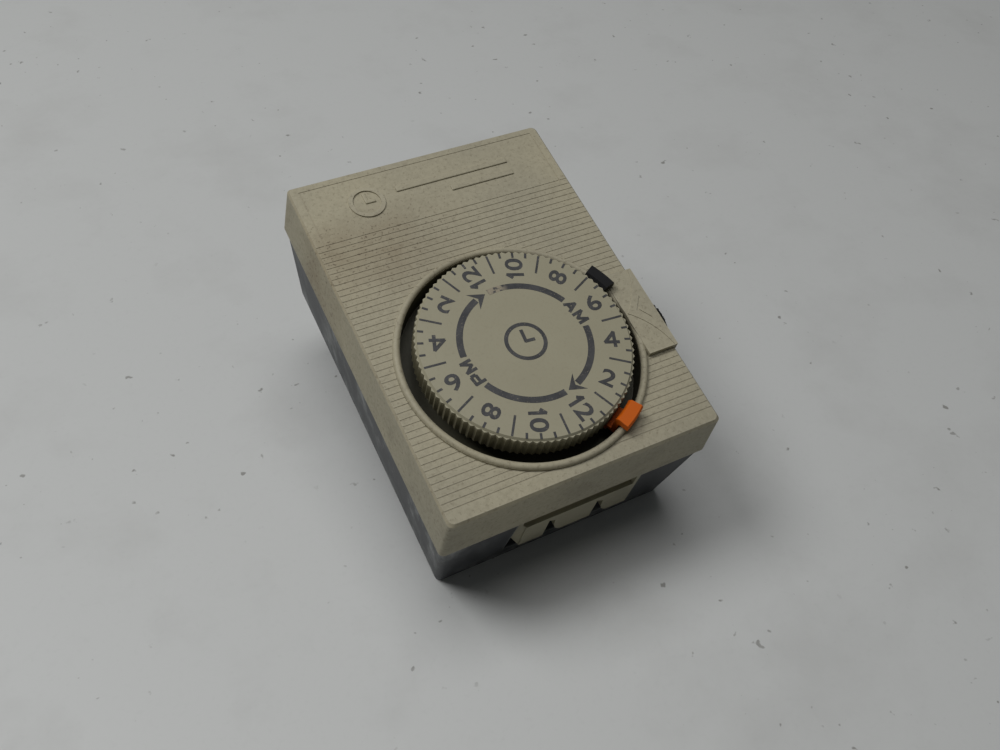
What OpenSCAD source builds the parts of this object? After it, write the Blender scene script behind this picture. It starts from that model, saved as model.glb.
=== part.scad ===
// Plug-in 24 hour appliance timer.
// Z = 0 is the back face that meets the wall plate, +Z points out of the dial and +Y to the top end.
// The origin is the middle of the back face. All sizes are in millimetres.

/* [Case] */
// Width of the front face
body_w = 67; // [67:1:72]
// Height of the front face
body_h = 92; // [92:1:98]
// Depth of the front cover
cover_d = 14; // [14:0.5:16]
// How far each side of the cover leans out at the parting line
draft = 0.8; // [0.4:0.1:1.2]
// Wall thickness of the two shells
wall = 2; // [1.6:0.1:2.2]
// Spacing of the ribs on the front face
rib_pitch = 1.5875; // [1.2:0.0125:2.2]
// Height of the raised ring round the dial
ring_h = 1.15; // [0.6:0.05:1.6]

/* [Dial] */
// Outer radius of the dial over its knurled rim
dial_r = 24.6; // [23:0.1:24.6]
// Height of the dial's top above the front face
dial_proud = 4.95; // [3.5:0.05:5]
// Number of grooves in the dial's rim, one for each quarter of an hour
dial_grooves = 96; // [48:48:96]
// Radius of the opening in the front cover
open_r = 27.2; // [27.2:0.1:28]

/* [Plug and receptacle] */
// Distance between the two blades
blade_pitch = 12.7; // [12.7:0.1:19]
// How far the blades stand out of the back
blade_l = 16.7; // [15.9:0.1:18.3]
// Width of a blade
blade_w = 6.35; // [5:0.05:7]
// Thickness of a blade
blade_t = 1.5; // [1.4:0.1:1.6]

/* [Knob and trippers] */
// Radius of the manual knob
knob_r = 6.2; // [5:0.1:6.5]
// Thickness of the manual knob
knob_t = 3.6; // [3:0.1:6]
// Half of the angle that a tripper's tab covers
tab_half = 6.6; // [4:0.1:7]
// Where the on tripper sits on the dial, in degrees
on_angle = 22.4; // [18:0.1:24]
// Where the off tripper sits on the dial, in degrees
off_angle = -59.5; // [-66:0.5:-58]

/* [Hidden] */

$fn = 64;
e = 0.01;

// Case
case_d = 26;
front_z = case_d + cover_d;
lip_w = body_w + 2 * draft;
lip_h = body_h + 2 * draft;
case_step = 0.5;
rim_w = lip_w - 2 * case_step;
rim_h = lip_h - 2 * case_step;
back_w = rim_w - 5.8;
back_h = rim_h - 4;
corner_r = 1.3;
boss_x = 26.6;
boss_y = 40.4;
boss_r = 3.2;
screw_r = 1.45;
case_hole_r = 1.7;
head_r = 2.6;

// Dial axis and the round well that the dial turns in
dial_x = -1;
dial_y = -14.5;
ring_r = 28.85;
well_floor = 34;
floor_t = 1.5;
floor_z = well_floor - floor_t;
dial_top = front_z + dial_proud;
disc_t = 2.25;
disc_z = dial_top - disc_t;
skirt_z = front_z - 1.1;
skirt_t = 2.2;
groove_depth = 0.45;
spindle_r = 2;
run_gap = 0.05;
hub_r = 4.95;
neck_r = 4;
neck_z = 25.4;

// Ribbed face
first_rib_y = 27.4;
last_rib_y = -body_h / 2 + 3.4;
rib_w = 0.36;
rib_depth = 0.11;
panel_line_y = body_h / 2 - 2.3;
panel_line_x = 31;

// Raised pad beside the dial, with its arrow
pad_h = 1.25;
pad_side_x = 33.8;
pad_y1 = -25.8;
pad_y2 = -3.3;
arrow_h = 0.2;

// Manual knob axis, along X
knob_z = 29.5;
knob_x = 34.95;
shaft_r = 1.5;
shaft_x = 21.6;
star_x = 23.85;
star_t = 0.95;
star_gap = 0.2;
star_r = 7.8;
detent_x = 27.6;
detent_t = 0.9;
detent_r = 4.1;
cam_x = 28.9;
cam_t = 2.1;
cam_low = 3.65;
cam_high = 4.75;

// Receptacle
socket_x = 1;
socket_half_w = 15.4;
socket_z1 = 11;
socket_z2 = 22;
socket_lip_z = 25.85;
socket_face_y = -46.75;
socket_groove_z = 21.8;
socket_y = -24;
slot_w = 1.9;
slot_z1 = 12;
slot_z2 = 18.5;
slot_tip_z = 19.9;
slot_l = 17;
flare_w = 3.3;
flare_h = slot_z2 - socket_z1;
face_depth = 7;
sill_z = 5.7;
ledge_y = -41;
clip_t = 0.5;

// Plug blades and bus strips
blade_y = 24;
foot_l = 5;
foot_t = 1.2;
strip_t = 0.8;
strip_w = 4;
strip_z = wall + foot_t;
bus_edge_x = 27.6;
bus_end_y = -26;

// Motor
core_x1 = -23;
core_x2 = 9;
core_y1 = 8;
core_y2 = 38;
core_z = 6.5;
core_t = 8;
leg_w = 6;
rotor_r = 7.2;
rotor_bore_r = 7.8;
rotor_arbor_r = 0.6;
bobbin_wall = 1;
winding_t = 2.6;
flange_t = 1;
motor_posts = [[-20, 11], [6, 11]];

// Gear train: three gears turn about each of the two wheel arbors
plate_z = 16;
plate_t = 1.2;
plate_top = plate_z + plate_t;
bridge_z = 29.6;
bridge_t = 1;
train_module = 0.3;
dial_module = 0.4;
wheel_teeth = [81, 81, 80, 80, 75];
pinion_teeth = [9, 10, 10, 15, 8];
rotor_teeth = 9;
clutch_teeth = 100;
wheel_t = 0.9;
level_pitch = 2;
level_1 = plate_top + 0.6;
arbor_r = 0.5;
bore_gap = 0.04;
pressure_angle = 20;
tooth_play = 0.07;
arbor_step = train_module * 45;
last_step = dial_module * (pinion_teeth[4] + clutch_teeth) / 2;
a_angle = 86.9;
b_angle = 10;
rotor_angle = 122;
arbor_a = [dial_x + last_step * cos(a_angle), dial_y + last_step * sin(a_angle)];
arbor_b = arbor_a + arbor_step * [cos(b_angle), sin(b_angle)];
rotor_at = arbor_a + arbor_step * [cos(rotor_angle), sin(rotor_angle)];
clutch_z = level_1 + 5 * level_pitch;
case_posts = [[-17, 3], [24.5, 20], [22.5, -2.5], [-17, -16]];
pillars = [[-17, 3], [-12, 22], [24.5, 20], [22.5, -2.5]];
pillar_r = 1.6;

// Switch
leaf_z = 25.3;
leaf_t = 0.4;
leaf_w = 2.1;
leaf_root_y = 9;
leaf_end_y = -24;
contact_y = -22;
contact_r = 1.2;

// ---------------------------------------------------------------- shared shapes

// A flat slab with rounded corners, used as one layer of a hull
module layer(w, h, z, r = corner_r) {
    for (sx = [-1, 1], sy = [-1, 1])
        translate([sx * (w / 2 - r), sy * (h / 2 - r), z]) cylinder(h = 0.02, r = r, $fn = 32);
}

module ring(r_out, r_in, z1, z2) {
    difference() {
        translate([0, 0, z1]) cylinder(h = z2 - z1, r = r_out);
        translate([0, 0, z1 - 1]) cylinder(h = z2 - z1 + 2, r = r_in);
    }
}

module block(p1, p2) {
    translate(p1) cube(p2 - p1);
}

module on_dial_axis() {
    translate([dial_x, dial_y, 0]) children();
}

// Puts a shape drawn along +Z on the knob's axis, starting at x
module on_knob_axis(x) {
    translate([x, dial_y, knob_z]) rotate([0, 90, 0]) children();
}

module wire(points, r) {
    for (i = [0 : len(points) - 2])
        hull() {
            translate(points[i]) sphere(r = r, $fn = 12);
            translate(points[i + 1]) sphere(r = r, $fn = 12);
        }
}

module screw(x, y, z_head, z_end, r, r_head, head_h) {
    translate([x, y, min(z_head, z_end)]) cylinder(h = abs(z_end - z_head), r = r, $fn = 32);
    translate([x, y, z_head - (z_end > z_head ? head_h : 0)])
        difference() {
            cylinder(h = head_h, r = r_head, $fn = 32);
            translate([-r_head, -0.3, z_end > z_head ? -e : head_h - 0.6])
                cube([2 * r_head, 0.6, 0.6 + e]);
        }
}

// Involute spur gear, with the middle of a tooth on +X
function inv(a) = tan(a) * 180 / PI - a;
function half_tooth(teeth, m, r) =
    let (pitch_r = m * teeth / 2,
         base_r = pitch_r * cos(pressure_angle),
         a = r > base_r ? acos(base_r / r) : 0)
    90 / teeth - tooth_play / pitch_r * 90 / PI + inv(pressure_angle) - inv(a);
function tooth_radii(teeth, m) =
    let (pitch_r = m * teeth / 2)
    teeth > 20
        ? [pitch_r - 1.2 * m, pitch_r, pitch_r + 0.75 * m]
        : [pitch_r - 1.2 * m, pitch_r - 0.1 * m, pitch_r + 0.4 * m, pitch_r + 0.85 * m];
function flank(teeth, m, at, side) =
    [for (r = tooth_radii(teeth, m))
        let (a = at + side * half_tooth(teeth, m, r)) r * [cos(a), sin(a)]];
function reversed(list) = [for (i = [len(list) - 1 : -1 : 0]) list[i]];

module gear(teeth, m, z1, z2) {
    outline = [for (i = [0 : teeth - 1])
        each concat(flank(teeth, m, i * 360 / teeth, -1),
                    reversed(flank(teeth, m, i * 360 / teeth, 1)))];
    translate([0, 0, z1]) linear_extrude(height = z2 - z1) polygon(outline);
}

// ---------------------------------------------------------------- case

module ring_bead() {
    bead_r = (ring_r - open_r) / 2;
    rotate_extrude($fn = 128)
        translate([open_r, front_z - 1])
            union() {
                square([2 * bead_r, 1.2 + ring_h - bead_r]);
                translate([bead_r, 1.2 + ring_h - bead_r - 0.2]) circle(r = bead_r, $fn = 32);
            }
}

// Side of the arrow: a chord from the tip to a far corner, hollowed by an arc
module hollow_side(tip, corner, rise) {
    across = corner - tip;
    half = norm(across) / 2;
    r = (half * half + rise * rise) / (2 * rise);
    outward = [across[1], -across[0]] / (2 * half) * (corner[1] < tip[1] ? 1 : -1);
    at = (tip + corner) / 2 - outward * (rise - r);
    translate(at) circle(r = r, $fn = 128);
}

module arrow_pad() {
    tip = [dial_x + open_r + 0.4, dial_y];
    base_x = pad_side_x - 0.9;
    top_corner = [base_x, pad_y2 - 0.2];
    low_corner = [base_x, pad_y1 + 0.2];
    inner_x = base_x - 1.2;
    block([tip[0] - 0.5, pad_y1, front_z - 1], [body_w / 2, pad_y2, front_z + pad_h]);
    block([body_w / 2 - 0.6, pad_y1, case_d + 1], [pad_side_x, pad_y2, front_z + pad_h]);
    translate([0, 0, front_z + pad_h - e])
        linear_extrude(height = arrow_h)
            difference() {
                polygon([tip, top_corner, low_corner]);
                hollow_side(tip, top_corner, 1.1);
                hollow_side(tip, low_corner, 1.1);
                difference() {
                    polygon([[tip[0] + 2.4, dial_y], [inner_x, dial_y + 3.5], [inner_x, dial_y - 3.5]]);
                    polygon([[tip[0] + 3.3, dial_y], [inner_x + e, dial_y + 2.7], [inner_x + e, dial_y - 2.7]]);
                }
            }
}

module front_cover() {
    color("#cdc6ab")
    difference() {
        union() {
            difference() {
                hull() {
                    layer(lip_w, lip_h, case_d);
                    layer(body_w + 0.1, body_h + 0.1, front_z - 0.6);
                    layer(body_w - 0.9, body_h - 0.9, front_z - 0.02);
                }
                hull() {
                    layer(lip_w - 2 * wall, lip_h - 2 * wall, case_d - 0.02);
                    layer(body_w - 2 * wall, body_h - 2 * wall, front_z - wall);
                }
                for (y = [first_rib_y : -rib_pitch : last_rib_y])
                    block([-body_w, y - rib_w / 2, front_z - rib_depth],
                          [body_w, y + rib_w / 2, front_z + 1]);
                block([-panel_line_x, panel_line_y, front_z - rib_depth],
                      [panel_line_x, panel_line_y + rib_w, front_z + 1]);
                for (sx = [-1, 1])
                    block([sx * panel_line_x - rib_w / 2, first_rib_y, front_z - rib_depth],
                          [sx * panel_line_x + rib_w / 2, panel_line_y + rib_w, front_z + 1]);
            }
            on_dial_axis() ring_bead();
            on_dial_axis() ring(open_r + 1.1, open_r - 1, floor_z, front_z - 0.2);
            on_dial_axis() translate([0, 0, floor_z]) cylinder(h = floor_t, r = open_r + 0.5);
            arrow_pad();
            for (sx = [-1, 1], sy = [-1, 1])
                translate([sx * boss_x, sy * boss_y, case_d]) cylinder(h = cover_d - 1, r = boss_r);
        }
        on_dial_axis() translate([0, 0, well_floor]) cylinder(h = 20, r = open_r, $fn = 128);
        on_dial_axis() translate([0, 0, floor_z - 1]) cylinder(h = 4, r = hub_r + 0.35);
        block([star_x - 0.45, dial_y - 7.6, floor_z - 1], [26.4, dial_y + 7.6, 38.2]);
        on_knob_axis(30) cylinder(h = 8, r = shaft_r + 0.25);
        for (sx = [-1, 1], sy = [-1, 1])
            translate([sx * boss_x, sy * boss_y, case_d - 1]) cylinder(h = 10, r = screw_r);
    }
}

module case_shell() {
    difference() {
        hull() {
            layer(back_w, back_h, 0);
            layer(rim_w, rim_h, case_d - 0.02);
        }
        hull() {
            layer(back_w - 2 * wall, back_h - 2 * wall, wall);
            layer(rim_w - 2 * wall, rim_h - 2 * wall, case_d);
        }
        block([socket_x - socket_half_w - 0.2, -body_h, sill_z],
              [socket_x + socket_half_w + 0.2, ledge_y, case_d + 1]);
    }
}

module rear_case() {
    color("#3c4046")
    difference() {
        union() {
            case_shell();
            for (sx = [-1, 1], sy = [-1, 1])
                translate([sx * boss_x, sy * boss_y, 1]) cylinder(h = case_d - 1, r = boss_r);
            for (p = case_posts)
                translate([p[0], p[1], 1]) cylinder(h = plate_z - 1, r = 2.8);
            for (p = motor_posts)
                translate([p[0], p[1], 1]) cylinder(h = core_z - 1, r = 2.6);
            // Pedestal under the knob bracket, and the rib under the switch base
            block([shaft_x, dial_y - 5, 1], [27.3, dial_y + 5, 19.4]);
            block([28.7, leaf_root_y, 1], [30.2, 15, 17]);
            // Ledge that the receptacle block stands on
            block([socket_x - socket_half_w, ledge_y, 1],
                  [socket_x + socket_half_w, socket_y, socket_z1]);
        }
        for (sx = [-1, 1], sy = [-1, 1])
            translate([sx * boss_x, sy * boss_y, -1]) {
                cylinder(h = case_d + 2, r = case_hole_r);
                cylinder(h = 1 + 2.4, r = head_r + 0.2);
            }
        for (p = case_posts)
            translate([p[0], p[1], 6]) cylinder(h = plate_z, r = 1);
        for (p = motor_posts)
            translate([p[0], p[1], 3]) cylinder(h = core_z, r = 1);
        for (sx = [-1, 1])
            translate([sx * blade_pitch / 2, blade_y, 0])
                cube([blade_t, blade_w, 3 * wall], center = true);
    }
}

module case_screws() {
    color("silver")
    for (sx = [-1, 1], sy = [-1, 1])
        screw(sx * boss_x, sy * boss_y, 2.4, case_d + 8, screw_r, head_r, 1.8);
}

// ---------------------------------------------------------------- receptacle and plug

// The space left beside a rounded lower corner of the block, which starts at x = 0
module round_corner() {
    difference() {
        translate([-e, socket_z1 - 1]) square([flare_w + e, flare_h + 1]);
        translate([flare_w, socket_z1 + flare_h]) scale([flare_w, flare_h]) circle(r = 1, $fn = 64);
    }
}

// Outer line of one entry funnel: straight on the left, rounded on the right
module funnel_outline() {
    polygon([[-slot_w / 2, socket_z1 - 1], [-slot_w / 2, slot_tip_z], [slot_w / 2, slot_z2],
             [slot_w / 2, socket_z1 - 1]]);
    translate([slot_w / 2, 0]) round_corner();
}

module receptacle_block() {
    left = socket_x - socket_half_w;
    right = socket_x + socket_half_w;
    color("#d8d2ba")
    difference() {
        translate([left, 0, 0])
            rotate([90, 0, 90])
                linear_extrude(height = 2 * socket_half_w)
                    polygon([[socket_face_y, socket_z1], [socket_face_y, socket_lip_z], [-40, socket_lip_z],
                             [-40, socket_z2], [socket_y, socket_z2], [socket_y, socket_z1]]);
        // Dark groove under the lip of the cover
        block([left + 1.2, -48, socket_groove_z], [right - 1, socket_face_y + 2.2, socket_lip_z + 1]);
        // Bevel down the left end
        translate([left, socket_face_y, socket_z1 - 1])
            linear_extrude(height = 20) polygon([[-1, -2], [1.7, -2], [1.7, 0.3], [-e, 1.6], [-1, 1.6]]);
        // Chamfer on its lower left corner
        translate([left, -40, socket_z1 - 1])
            rotate([90, 0, 0]) linear_extrude(height = 10) polygon([[-1, -1], [2.2, -1], [1.8, 1], [-e, 4], [-1, 4]]);
        for (sx = [-1, 1])
            translate([socket_x + sx * blade_pitch / 2, 0, 0]) {
                translate([0, face_depth - 46, 0])
                    rotate([90, 0, 0]) linear_extrude(height = face_depth + 2) funnel_outline();
                block([-slot_w / 2, -48, slot_z1], [slot_w / 2, socket_y - 17, slot_z2]);
                block([-2, socket_y - 17.2, slot_z1 - 0.2], [2, socket_y + 1, slot_z2 + 0.2]);
            }
    }
}

module receptacle_contact(sx) {
    x = socket_x + sx * blade_pitch / 2;
    color("#c9a64a")
    translate([x, 0, 0]) {
        for (s = [-1, 1])
            block([s > 0 ? 0.85 : -0.85 - clip_t, socket_y - slot_l, slot_z1],
                  [s > 0 ? 0.85 + clip_t : -0.85, socket_y, slot_z2]);
        block([-0.85 - clip_t, socket_y - clip_t, slot_z1], [0.85 + clip_t, socket_y, slot_z2]);
    }
}

module receptacle_contact_neutral() {
    receptacle_contact(-1);
}

module receptacle_contact_load() {
    receptacle_contact(1);
}

// A blade with its foot turned outward inside the case
module plug_blade(s) {
    tip = 1.2;
    x = s * blade_pitch / 2;
    foot_x = s * (blade_pitch / 2 + foot_l);
    color("#b9b9b4")
    difference() {
        union() {
            translate([x - blade_t / 2, blade_y, 0])
                rotate([90, 0, 90])
                    linear_extrude(height = blade_t)
                        polygon([[-blade_w / 2, wall + foot_t], [-blade_w / 2, tip - blade_l],
                                 [tip - blade_w / 2, -blade_l], [blade_w / 2 - tip, -blade_l],
                                 [blade_w / 2, tip - blade_l], [blade_w / 2, wall + foot_t]]);
            block([min(x, foot_x), blade_y - blade_w / 2, wall],
                  [max(x, foot_x), blade_y + blade_w / 2, wall + foot_t]);
        }
        translate([x - 4, blade_y, -blade_l + 4]) rotate([0, 90, 0]) cylinder(h = 8, r = 1.6);
        translate([s * (blade_pitch / 2 + 2.4), blade_y, 0]) cylinder(h = 5, r = 1);
    }
}

module plug_blade_neutral() {
    plug_blade(-1);
}

module plug_blade_line() {
    plug_blade(1);
}

module blade_rivets() {
    color("#b08d3c")
    for (s = [-1, 1])
        translate([s * (blade_pitch / 2 + 2.4), blade_y, wall]) {
            cylinder(h = foot_t + strip_t, r = 1);
            translate([0, 0, foot_t + strip_t]) cylinder(h = 0.5, r = 1.7);
        }
}

module neutral_bus() {
    x = -(blade_pitch / 2 + 2.4);
    riser_t = strip_t;
    color("#b87b4a")
    difference() {
        union() {
            block([x - strip_w / 2, socket_y, strip_z], [x + strip_w / 2, blade_y + 3, strip_z + strip_t]);
            block([x - strip_w / 2, socket_y, strip_z], [x + strip_w / 2, socket_y + riser_t, slot_z2 - 2]);
            block([x - strip_w / 2, socket_y, slot_z1 + 2],
                  [socket_x - blade_pitch / 2 + 1.35, socket_y + riser_t, slot_z2 - 2]);
        }
        translate([x, blade_y, 0]) cylinder(h = 9, r = 1);
    }
}

module line_bus() {
    x = blade_pitch / 2 + 2.4;
    color("#b87b4a")
    difference() {
        union() {
            block([x - strip_w / 2, 23.4, strip_z], [bus_edge_x + strip_t, 27.4, strip_z + strip_t]);
            block([bus_edge_x, bus_end_y, strip_z], [bus_edge_x + strip_t, 27.4, strip_z + strip_w]);
            block([bus_edge_x, bus_end_y, strip_z], [bus_edge_x + strip_t, bus_end_y + 4.5, 22.4]);
            block([bus_edge_x, bus_end_y, 21.6], [30.9, -19.5, 22.4]);
        }
        translate([x, blade_y, 0]) cylinder(h = 9, r = 1);
        translate([cam_x + leaf_w / 2, contact_y, 20]) cylinder(h = 4, r = 0.7);
    }
}

module load_lead() {
    color("#222222")
    wire([[29.8, 16.3, 24.4], [29.2, 16.9, 14], [26.3, 15.2, 10], [14, -2, 5.5], [9.5, -19, 5.5],
          [socket_x + blade_pitch / 2, socket_y + 0.9, slot_z1 + 2]], 0.9);
}

module motor_lead_line() {
    color("#222222")
    wire([[3.7, 36, 4.6], [10.2, 32, 4.8], [16, 26, strip_z + strip_t + 0.7]], 0.7);
}

module motor_lead_neutral() {
    color("#222222")
    wire([[-17.7, 36, 4.7], [-17.9, 27.2, 4.7], [-9.6, 26.7, strip_z + strip_t + 0.7]], 0.7);
}

// Card that stands on the receptacle block and closes off the gap above it
module insulating_card() {
    card_y = -37.5;
    color("#8c5a35")
    block([socket_x - socket_half_w, card_y, socket_z2],
          [socket_x + socket_half_w, card_y + 0.5, floor_z - 0.4]);
}

// ---------------------------------------------------------------- dial

function groove_point(i, r) = r * [cos(i * 180 / dial_grooves), sin(i * 180 / dial_grooves)];

module dial() {
    rim = [for (i = [0 : 2 * dial_grooves - 1])
        groove_point(i + 0.5, i % 2 == 0 ? dial_r : dial_r - groove_depth)];
    color("#d6d0b4")
    on_dial_axis()
    difference() {
        union() {
            difference() {
                translate([0, 0, skirt_z]) linear_extrude(height = dial_top - skirt_z - 0.5) polygon(rim);
                translate([0, 0, skirt_z - 1]) cylinder(h = disc_z - skirt_z + 1, r = dial_r - skirt_t);
            }
            translate([0, 0, dial_top - 0.5 - e]) cylinder(h = 0.5 + e, r1 = dial_r - 0.4, r2 = dial_r - 0.8);
            translate([0, 0, clutch_z + 1.15]) cylinder(h = disc_z - clutch_z, r = hub_r);
            translate([0, 0, neck_z]) cylinder(h = 6, r = neck_r);
        }
        translate([0, 0, neck_z - 1]) cylinder(h = disc_z - neck_z + 0.8, r = spindle_r + run_gap);
    }
}

// Clip round the dial's skirt, with a tab outside and a finger that trips the star wheel
module tripper(at, finger_r) {
    inner_r = dial_r - skirt_t - 1.4;
    foot_r = dial_r + 0.2;
    leg_r = dial_r + 1.1;
    out_r = open_r - 0.3;
    tab_r = open_r + 2;
    tab_z = front_z + ring_h + 0.5;
    top_z = front_z + 3.3;
    finger_half = 4;
    on_dial_axis() {
        rotate([0, 0, at - tab_half])
            rotate_extrude(angle = 2 * tab_half, $fn = 128)
                polygon([[inner_r, 41.3], [inner_r, 36.6], [foot_r, 36.6], [foot_r, 37.7],
                         [out_r, 37.7], [out_r, tab_z], [tab_r, tab_z], [tab_r, top_z - 0.5],
                         [tab_r - 0.4, top_z], [leg_r + 0.6, top_z], [leg_r, top_z - 0.7],
                         [leg_r, 38.5], [inner_r + 1.1, 38.5], [inner_r + 1.1, 41.3]]);
        rotate([0, 0, at - finger_half])
            rotate_extrude(angle = 2 * finger_half, $fn = 128)
                translate([finger_r, 35.5]) square([0.85, 2.5]);
    }
}

module on_tripper() {
    color("#191919") tripper(on_angle, dial_r + 0.3);
}

module off_tripper() {
    color("#e8691c") tripper(off_angle, dial_r + 1.4);
}

module dial_spindle() {
    color("silver")
    on_dial_axis() {
        translate([0, 0, plate_z]) cylinder(h = disc_z - 0.6 - plate_z, r = spindle_r);
        translate([0, 0, plate_top]) cylinder(h = 0.8, r = 5);
    }
}

module dial_retaining_ring() {
    color("silver") on_dial_axis() ring(7.5, hub_r, floor_z - 0.9, floor_z - 0.2);
}

module clutch_gear() {
    color("#e8e2cf")
    on_dial_axis()
    difference() {
        rotate([0, 0, a_angle + 180 / clutch_teeth])
            gear(clutch_teeth, dial_module, clutch_z, clutch_z + 1.1);
        translate([0, 0, clutch_z - 1]) cylinder(h = 4, r = neck_r + run_gap);
        for (i = [0 : 4])
            rotate([0, 0, 72 * i + 20]) translate([12, 0, clutch_z - 1]) cylinder(h = 4, r = 4.2);
    }
}

module clutch_washer() {
    color("#c9a64a") on_dial_axis() ring(7, neck_r, clutch_z - 0.65, clutch_z - 0.05);
}

module clutch_collar() {
    color("silver") on_dial_axis() ring(6.2, neck_r, clutch_z - 1.5, clutch_z - 0.65);
}

// ---------------------------------------------------------------- manual knob

module manual_knob() {
    ridges = 24;
    outline = [for (i = [0 : 4 * ridges - 1])
        let (a = i * 90 / ridges, r = i % 4 < 2 ? knob_r : knob_r - 0.45) r * [cos(a), sin(a)]];
    color("#161616")
    on_knob_axis(knob_x)
    difference() {
        union() {
            linear_extrude(height = knob_t - 0.5) polygon(outline);
            translate([0, 0, knob_t - 0.5]) cylinder(h = 0.5, r1 = knob_r - 0.45, r2 = knob_r - 0.95);
        }
        translate([0, 0, -1]) cylinder(h = knob_t, r = shaft_r);
        translate([-knob_r, -0.5, knob_t - 0.6]) cube([2 * knob_r, 1, 1]);
    }
}

module knob_shaft() {
    color("silver") on_knob_axis(shaft_x) cylinder(h = knob_x + knob_t - 1.05 - shaft_x, r = shaft_r);
}

module star(x, turn) {
    on_knob_axis(x)
    difference() {
        union() {
            cylinder(h = star_t, r = 3);
            for (i = [0 : 3])
                rotate([0, 0, turn + 90 * i])
                    linear_extrude(height = star_t)
                        polygon([[0, -1.3], [star_r - 0.4, -0.6], [star_r, -0.3],
                                 [star_r, 0.3], [star_r - 0.4, 0.6], [0, 1.3]]);
        }
        translate([0, 0, -1]) cylinder(h = 4, r = shaft_r);
    }
}

module on_star_wheel() {
    color("#e8e2cf") star(star_x, 0);
}

module off_star_wheel() {
    color("#e8e2cf") star(star_x + star_t + star_gap, 45);
}

module detent_wheel() {
    notches = 8;
    color("#e8e2cf")
    on_knob_axis(detent_x)
    difference() {
        cylinder(h = detent_t, r = detent_r);
        for (i = [0 : notches - 1])
            rotate([0, 0, i * 360 / notches])
                translate([detent_r + 0.2, 0, -1]) cylinder(h = 4, r = 0.95, $fn = 24);
        translate([0, 0, -1]) cylinder(h = 4, r = shaft_r);
    }
}

module switch_cam() {
    color("#e8e2cf")
    on_knob_axis(cam_x)
    difference() {
        intersection() {
            cylinder(h = cam_t, r = cam_high);
            translate([0, 0, cam_t / 2]) cube([2 * cam_low, 2 * cam_low, 2 * cam_t], center = true);
        }
        translate([0, 0, -1]) cylinder(h = 5, r = shaft_r);
    }
}

module detent_spring() {
    bump_r = 0.75;
    bump_z = knob_z - detent_r - 0.2;
    color("#c9c9c4") {
        translate([detent_x, dial_y, bump_z])
            rotate([0, 90, 0]) cylinder(h = detent_t, r = bump_r, $fn = 24);
        block([detent_x, dial_y - 9, bump_z - 0.6], [detent_x + detent_t, dial_y + 5, bump_z - 0.25]);
        block([detent_x, dial_y - 9, 22.8], [detent_x + detent_t, dial_y - 8.6, bump_z - 0.25]);
        block([26.5, dial_y - 9, 22.8], [detent_x + detent_t, dial_y - 8.6, 24.2]);
    }
}

module knob_bracket() {
    color("#e4dfcc")
    difference() {
        union() {
            block([shaft_x, dial_y - 5, 19.4], [27.3, dial_y + 5, 20.6]);
            block([shaft_x, dial_y - 5, 19.4], [23.2, dial_y + 5, 31.9]);
            block([26.3, dial_y - 8.6, 19.4], [27.3, dial_y + 5, 31.9]);
        }
        on_knob_axis(20) cylinder(h = 10, r = shaft_r + run_gap);
    }
}

// ---------------------------------------------------------------- switch

module switch_base() {
    color("#7a4a2a")
    block([28.7, leaf_root_y, 17], [30.7, 15, leaf_z]);
}

module contact_anchor() {
    color("#c98a55") {
        block([cam_x, leaf_root_y, leaf_z], [cam_x + leaf_w, 17, leaf_z + leaf_t]);
        translate([cam_x + leaf_w / 2, 12, leaf_z + leaf_t]) cylinder(h = 0.6, r = 0.9);
    }
}

module contact_leaf() {
    color("#c98a55")
    difference() {
        block([cam_x, leaf_end_y, leaf_z], [cam_x + leaf_w, leaf_root_y - 0.05, leaf_z + leaf_t]);
        translate([cam_x + leaf_w / 2, contact_y, leaf_z - 1]) cylinder(h = 3, r = 0.6);
    }
}

module moving_contact() {
    color("#dadada")
    translate([cam_x + leaf_w / 2, contact_y, leaf_z]) {
        translate([0, 0, -0.7]) cylinder(h = 0.7, r = contact_r);
        cylinder(h = leaf_t, r = 0.6);
    }
}

module fixed_contact() {
    color("#dadada")
    translate([cam_x + leaf_w / 2, contact_y, 22.4]) {
        cylinder(h = 0.7, r = contact_r);
        translate([0, 0, -0.8]) cylinder(h = 0.8, r = 0.7);
    }
}

// ---------------------------------------------------------------- motor

module motor_core() {
    pole_gap = 1.4;
    color("#8a8d90")
    difference() {
        block([core_x1, core_y1, core_z], [core_x2, core_y2, core_z + core_t]);
        block([core_x1 + leg_w, core_y2 - leg_w - 4, core_z - 1],
              [core_x2 - leg_w, core_y2 - leg_w, core_z + core_t + 1]);
        block([rotor_at[0] - pole_gap / 2, core_y1 - 1, core_z - 1],
              [rotor_at[0] + pole_gap / 2, core_y2 - leg_w - 1, core_z + core_t + 1]);
        translate([rotor_at[0], rotor_at[1], core_z - 1]) cylinder(h = core_t + 2, r = rotor_bore_r);
        for (p = motor_posts)
            translate([p[0], p[1], core_z - 1]) cylinder(h = core_t + 2, r = 1.25);
    }
}

// A box round the coil's leg, standing out from it by d
module leg_box(x1, x2, d) {
    block([x1, core_y2 - leg_w - d, core_z - d], [x2, core_y2 + d, core_z + core_t + d]);
}

module coil_bobbin() {
    x1 = core_x1 + leg_w;
    x2 = core_x2 - leg_w;
    flange = bobbin_wall + winding_t + 0.2;
    color("#e9e4d2")
    difference() {
        union() {
            leg_box(x1, x2, bobbin_wall);
            leg_box(x1, x1 + flange_t, flange);
            leg_box(x2 - flange_t, x2, flange);
        }
        leg_box(x1 - 1, x2 + 1, 0);
    }
}

module coil_winding() {
    color("#9c4a22")
    difference() {
        leg_box(core_x1 + leg_w + flange_t, core_x2 - leg_w - flange_t, bobbin_wall + winding_t);
        leg_box(core_x1, core_x2, bobbin_wall);
    }
}

module rotor_magnet() {
    color("#4b4b4f")
    translate([rotor_at[0], rotor_at[1], 0]) ring(rotor_r, rotor_arbor_r, core_z + 0.2, core_z + core_t - 0.2);
}

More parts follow.
